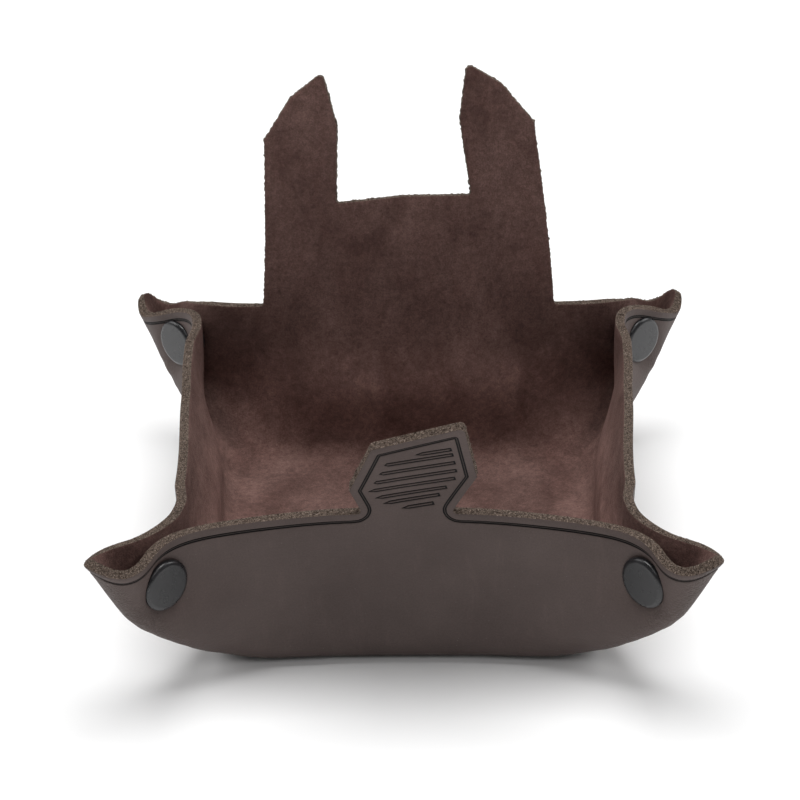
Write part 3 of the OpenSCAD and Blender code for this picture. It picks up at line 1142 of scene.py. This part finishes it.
def suede_material():
    """Napped reddish brown inside of the leather, mottled where the nap lies over, with painted light
    over the outer floor and folds and painted shade inside the folded ears.
    """
    n = Nodes("leather_suede")
    sheet = n.attribute("sheet", "Vector")
    brushed = n.noise(n.stretch(sheet, (0.05, 0.028, 0.05)), 1.6, 5, 0.62, 0.5)
    patches = n.noise(sheet, 0.16, 5, 0.68, 0.9)
    nap = n.noise(sheet, 2.6, 5, 0.8)
    tufts = n.noise(n.stretch(sheet, (1.0, 0.35, 1.0)), 1.5, 4, 0.7, 0.4)
    tone = n.ramp(brushed, [(0.32, SUEDE_DARK), (0.68, SUEDE_LIGHT)])
    spots = n.ramp(patches, [(0.3, 0.78), (0.7, 1.18)])
    clumps = n.ramp(n.noise(sheet, 0.75, 5, 0.75, 0.6), [(0.33, 0.72), (0.67, 1.22)])
    fuzz = n.ramp(nap, [(0.3, 0.66), (0.7, 1.30)])
    # Painted light: the suede is made lighter, up to 1.6 times, from 30 to 78 mm out from the middle,
    # over the outer floor, the folds and the lower walls
    wear_and_painted_light = n.ramp(
        n.from_middle(sheet), [(0.30, 1.0), (0.46, 1.45), (0.64, 1.60), (0.78, 1.0)]
    )
    # Painted shade: the suede is darkened down to 0.62 where the ears fold, for the shade inside them
    painted_shade_in_ears = n.ramp(n.attribute("creased", "Fac"), [(0.1, 1.0), (0.8, 0.62)])
    colour = n.times(tone, spots, clumps, fuzz, wear_and_painted_light, painted_shade_in_ears)
    normal = n.bump(brushed, 0.35, 0.0008)
    normal = n.bump(tufts, 0.4, 0.0004, normal)
    normal = n.bump(nap, 0.7, 0.0004, normal)
    n.set(Base_Color=colour, Roughness=0.95, Normal=normal, Specular_IOR_Level=0.1)
    n.set(Sheen_Weight=0.12, Sheen_Roughness=0.6, Sheen_Tint=(0.55, 0.40, 0.36, 1))
    return n.material


def raw_edge_material():
    """Cut edge: packed grey brown fibres with pale strands and dark pits."""
    n = Nodes("leather_raw_edge")
    sheet = n.attribute("sheet", "Vector")
    lumps = n.noise(sheet, 2.1, 5, 0.7, 0.9)
    strands = n.noise(n.stretch(sheet, (1.0, 1.0, 1.8)), 5.0, 4, 0.75, 1.6)
    pits = n.voronoi(n.stretch(sheet, (1.0, 1.0, 1.3)), 2.3)
    tone = n.ramp(
        lumps,
        [(0.34, (0.060, 0.040, 0.031)), (0.48, (0.19, 0.140, 0.112)), (0.66, (0.42, 0.33, 0.27))],
    )
    pale = n.ramp(strands, [(0.35, 0.55), (0.65, 1.45)])
    dark = n.ramp(pits, [(0.10, 1.25), (0.55, 0.55)])
    colour = n.times(tone, pale, dark)
    normal = n.bump(lumps, 1.0, 0.0005)
    normal = n.bump(strands, 0.8, 0.0003, normal)
    n.set(Base_Color=colour, Roughness=0.95, Normal=normal, Specular_IOR_Level=0.1)
    return n.material


def fibre_material():
    """Loose pale fibres that stand off the cut edge."""
    n = Nodes("leather_fibres")
    place = n.add("ShaderNodeTexCoord").outputs["Object"]
    tone = n.noise(place, 900, 3, 0.6)
    colour = n.ramp(tone, [(0.35, (0.10, 0.078, 0.066)), (0.65, (0.36, 0.31, 0.27))])
    n.set(Base_Color=colour, Roughness=0.9, Specular_IOR_Level=0.1)
    return n.material


def lacquer_material():
    """Black satin lacquer on the snap's metal, with a faint orange peel and rubbed patches."""
    n = Nodes("snap_lacquer")
    place = n.add("ShaderNodeTexCoord").outputs["Object"]
    peel = n.noise(place, 2600, 3, 0.6)
    smear = n.noise(place, 500, 4, 0.6)
    colour = n.ramp(smear, [(0.3, (0.008, 0.008, 0.009)), (0.75, (0.016, 0.015, 0.017))])
    rough = n.ramp(smear, [(0.3, 0.24), (0.7, 0.36)])
    n.set(Base_Color=colour, Roughness=rough, Normal=n.bump(peel, 0.08, 0.00005))
    n.set(Specular_IOR_Level=0.5, Coat_Weight=0.15, Coat_Roughness=0.12)
    return n.material


GRAIN = grain_material()
SUEDE = suede_material()
RAW_EDGE = raw_edge_material()
FIBRE = fibre_material()
LACQUER = lacquer_material()


# ---------------------------------------------------------------- build the leather

def one_fibre(root, way, length, radius, bend, points, faces):
    """A thin three-sided hair that tapers from its root and bends on its way."""
    side = way.orthogonal().normalized()
    other = way.cross(side)
    first = len(points)
    for share, width in ((0.0, 1.0), (0.4, 0.8), (0.75, 0.5)):
        middle = root + way * (length * share) + bend * (share * share)
        for turn in (0, 2 * pi / 3, 4 * pi / 3):
            off = side * cos(turn) + other * sin(turn)
            points.append(middle + off * (radius * width))
    points.append(root + way * length + bend)
    tip = first + 9
    faces.append([first + 2, first + 1, first])
    for ring in (0, 3):
        for k in range(3):
            a, b = first + ring + k, first + ring + (k + 1) % 3
            faces.append([a, b, b + 3, a + 3])
    faces += [[first + 6 + k, first + 6 + (k + 1) % 3, tip] for k in range(3)]


def edge_fibres(name, leather, rim_indices, random):
    """Stray fibres along one panel's part of the cut edge."""
    points, faces = [], []
    for k in np.repeat(rim_indices, FIBRES_PER_STEP):
        row = leather.rows[int(random.integers(len(leather.rows)))]
        out = Vector(leather.rim_out[k])
        across = Vector(leather.inward[leather.cut.rim[k]])
        on = out.cross(across)
        lean = on * random.normal(0, 1.0) + across * random.normal(0, 0.8)
        way = (out * random.uniform(0.15, 1.1) + lean).normalized()
        length = 0.14 + random.exponential(0.17)
        bend = (on * random.normal(0, 0.4) + across * random.normal(0, 0.4)) * length
        root = Vector(row[k]) - way * 0.08
        radius = random.uniform(0.02, 0.045)
        one_fibre(root, way, min(length, 1.2), radius, bend, points, faces)
    mesh = bpy.data.meshes.new(name)
    mesh.from_pydata([p * MM for p in points], [], faces)
    mesh.shade_smooth()
    mesh.materials.append(FIBRE)
    return new_object(name, mesh)


def build_leather():
    surface = Surface(SheetSolver().solve())
    cut = FlatCut()
    leather = Leather(cut, surface)
    middles = cut.flat[cut.triangles].mean(1)
    zones = np.array([zone(u, v) for u, v in middles])
    rim_zones = np.array([zone(u, v) for u, v in cut.flat[cut.rim]])
    random = np.random.default_rng(7)
    for body in sorted(set(zones)):
        node = "base_panel" if body == "base" else body
        triangles = cut.triangles[zones == body]
        piece = piece_mesh(node + "_leather", leather, triangles)
        for material in (GRAIN, SUEDE, RAW_EDGE):
            piece.data.materials.append(material)
        follow_bodies(piece, body, surface)
        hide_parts(node)
        if body != "base":
            rim = np.where(rim_zones == body)[0]
            fibres = edge_fibres(node + "_edge_fibres", leather, rim, random)
            follow_bodies(fibres, body, surface)


# ---------------------------------------------------------------- snaps

def lathe(name, profile, segments=72):
    """Turns a closed profile of (radius, height) points round the z axis."""
    points, faces, rings = [], [], []
    for radius, height in profile:
        if radius < 1e-6:
            rings.append([len(points)] * segments)
            points.append((0, 0, height * MM))
            continue
        first = len(points)
        for k in range(segments):
            angle = 2 * pi * k / segments
            points.append((radius * MM * cos(angle), radius * MM * sin(angle), height * MM))
        rings.append([first + k for k in range(segments)])
    closed = profile[0][0] > 1e-6
    for ring in range(len(rings) - (0 if closed else 1)):
        low, high = rings[ring], rings[(ring + 1) % len(rings)]
        for k in range(segments):
            corners = [low[k], low[(k + 1) % segments], high[(k + 1) % segments], high[k]]
            faces.append(list(dict.fromkeys(corners)))
    mesh = bpy.data.meshes.new(name)
    mesh.from_pydata(points, [], faces)
    mesh.update()
    mesh.shade_smooth()
    return new_object(name, mesh)


def fillet(start, corner, end, steps=5):
    """Points of a soft curve from start to end that leans towards corner."""
    out = []
    for k in range(steps + 1):
        t = k / steps
        out.append(tuple(
            a * (1 - t) ** 2 + 2 * b * t * (1 - t) + c * t * t for a, b, c in zip(start, corner, end)
        ))
    return out


CAP_R = 6.25
CAP_H = 2.0
FACE = LEATHER_T / 2


def cap_profile():
    """Cap with a flat satin face, a rolled bevel and a rim that stands off the leather."""
    top = FACE + CAP_H
    return (
        [(0, -0.9), (1.5, -0.9), (1.5, FACE - 0.3), (4.6, FACE - 0.25)]
        + fillet((5.6, FACE + 0.15), (CAP_R, FACE + 0.15), (CAP_R, FACE + 0.75))
        + fillet((CAP_R, FACE + 1.0), (CAP_R - 0.02, top - 0.45), (CAP_R - 0.5, top - 0.22))
        + fillet((CAP_R - 0.75, top - 0.1), (CAP_R - 0.95, top), (CAP_R - 1.25, top))
        + [(2.5, top + 0.02), (0, top + 0.03)]
    )


def post_profile():
    """Eyelet post: a domed washer on the grain side with its rolled hole."""
    return (
        [(0.6, -PLY_OFFSET), (1.0, -PLY_OFFSET), (1.1, -PLY_OFFSET + 0.2), (1.1, -0.3), (1.6, -0.3)]
        + [(1.6, FACE - 0.2), (4.4, FACE - 0.2)]
        + fillet((4.55, FACE - 0.1), (4.85, FACE + 0.2), (4.5, FACE + 0.45))
        + fillet((3.4, FACE + 0.85), (2.2, FACE + 1.05), (1.5, FACE + 0.95))
        + fillet((1.1, FACE + 0.85), (0.65, FACE + 0.6), (0.6, FACE + 0.2))
    )


def socket_profile():
    """Socket: a rolled cup whose bore takes the stud."""
    end = -PLY_OFFSET - 0.35
    return (
        [(1.6, -0.35), (1.6, -0.85), (2.4, -0.9), (2.3, end + 0.5)]
        + fillet((2.4, end + 0.2), (2.6, end), (3.1, end))
        + fillet((3.6, end), (3.8, end + 0.5), (4.1, end + 0.55))
        + fillet((4.4, end + 0.6), (4.95, end + 0.6), (4.95, end + 1.2))
        + [(4.95, -0.45), (4.8, -0.32)]
    )


def stud_profile():
    """Stud: a flange with a waisted neck and a rounded head."""
    head = -PLY_OFFSET - 0.5
    return (
        [(1.2, -0.32), (4.4, -0.32)]
        + fillet((4.55, -0.4), (4.6, -0.75), (4.3, -0.85))
        + fillet((2.4, -0.9), (1.7, -0.95), (1.72, -1.3))
        + fillet((1.8, -1.5), (2.2, -1.75), (2.1, -2.0))
        + [(1.75, head), (1.2, head)]
    )


def snap_pieces():
    profiles = {"cap": cap_profile, "post": post_profile, "socket": socket_profile, "stud": stud_profile}
    for corner in CORNERS:
        for kind, profile in profiles.items():
            node = f"{corner}_{kind}"
            sx = 1 if "right" in corner else -1
            sy = 1 if "back" in corner else -1
            on_cap_flap = kind in ("cap", "socket")
            ply = 1 if ("front" in corner) == on_cap_flap else -1
            outward = Vector((-sx * ply, sy * ply, 0)).normalized()
            centre = Vector((sx, sy, 0)) * (SNAP_S / sqrt(2)) + Vector((0, 0, SNAP_Z))
            obj = lathe(node + "_detail", profile())
            turn = outward.to_track_quat("Z", "Y").to_matrix().to_4x4()
            place = Matrix.Translation((centre + outward * PLY_OFFSET) * MM)
            obj.data.transform(place @ turn)
            obj.data.materials.append(LACQUER)
            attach(obj, f"{corner}_{'cap' if on_cap_flap else 'stud'}_flap")
            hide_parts(node)


build_leather()
snap_pieces()


# ---------------------------------------------------------------- camera, floor and light

WORLD_LIGHT = 0.16
TOP_LIGHT, SIDE_LIGHT, FRONT_LIGHT = 19.0, 7.0, 4.0


def add_camera():
    data = bpy.data.cameras.new("camera")
    data.sensor_width = 36
    data.lens = 141.98
    data.clip_end = 20
    camera = new_object("camera", data)
    yaw, pitch, roll = radians(1.169), radians(-29.942), radians(-0.957)
    camera.location = (0.01207, -0.6666, 0.42925)
    turn = Matrix.Rotation(yaw, 4, "Z") @ Matrix.Rotation(pi / 2 + pitch, 4, "X")
    camera.rotation_euler = (turn @ Matrix.Rotation(roll, 4, "Z")).to_euler()
    bpy.context.scene.camera = camera


def paper_material():
    n = Nodes("paper")
    n.set(Base_Color=(0.93, 0.93, 0.93, 1), Roughness=0.9, Specular_IOR_Level=0.1)
    return n.material


def add_sweep():
    """Pale floor that curves up into a backdrop."""
    width, front, back, radius, height = 3.0, -2.0, 1.2, 0.6, 2.2
    line = [(front, 0.0), (back, 0.0)]
    line += [
        (back + radius * sin(a), radius * (1 - cos(a)))
        for a in (pi / 2 * k / 16 for k in range(1, 17))
    ]
    line.append((back + radius, height))
    points = [(x, y, z) for y, z in line for x in (-width, width)]
    faces = [(2 * k, 2 * k + 1, 2 * k + 3, 2 * k + 2) for k in range(len(line) - 1)]
    mesh = bpy.data.meshes.new("sweep")
    mesh.from_pydata(points, [], faces)
    mesh.shade_smooth()
    mesh.materials.append(paper_material())
    new_object("sweep", mesh)


def add_area_light(name, place, target, size, power):
    data = bpy.data.lights.new(name, "AREA")
    data.shape = "RECTANGLE"
    data.size, data.size_y = size
    data.energy = power
    lamp = new_object(name, data)
    lamp.location = place
    way = Vector(target) - Vector(place)
    lamp.rotation_euler = way.to_track_quat("-Z", "Y").to_euler()


def add_lights():
    world = bpy.data.worlds.new("studio")
    world.use_nodes = True
    world.node_tree.nodes["Background"].inputs["Color"].default_value = (1, 1, 1, 1)
    world.node_tree.nodes["Background"].inputs["Strength"].default_value = WORLD_LIGHT
    bpy.context.scene.world = world
    middle = (0, 0, 0.03)
    add_area_light("top_softbox", (0.0, 0.1, 1.5), middle, (1.1, 0.9), TOP_LIGHT)
    add_area_light("left_softbox", (-1.2, 0.35, 0.8), middle, (0.9, 0.9), SIDE_LIGHT)
    add_area_light("right_softbox", (1.2, 0.35, 0.8), middle, (0.9, 0.9), SIDE_LIGHT)
    add_area_light("front_softbox", (0.1, -1.1, 1.4), middle, (1.2, 0.6), FRONT_LIGHT)


add_camera()
add_sweep()
add_lights()
bpy.context.scene.view_settings.view_transform = "Standard"
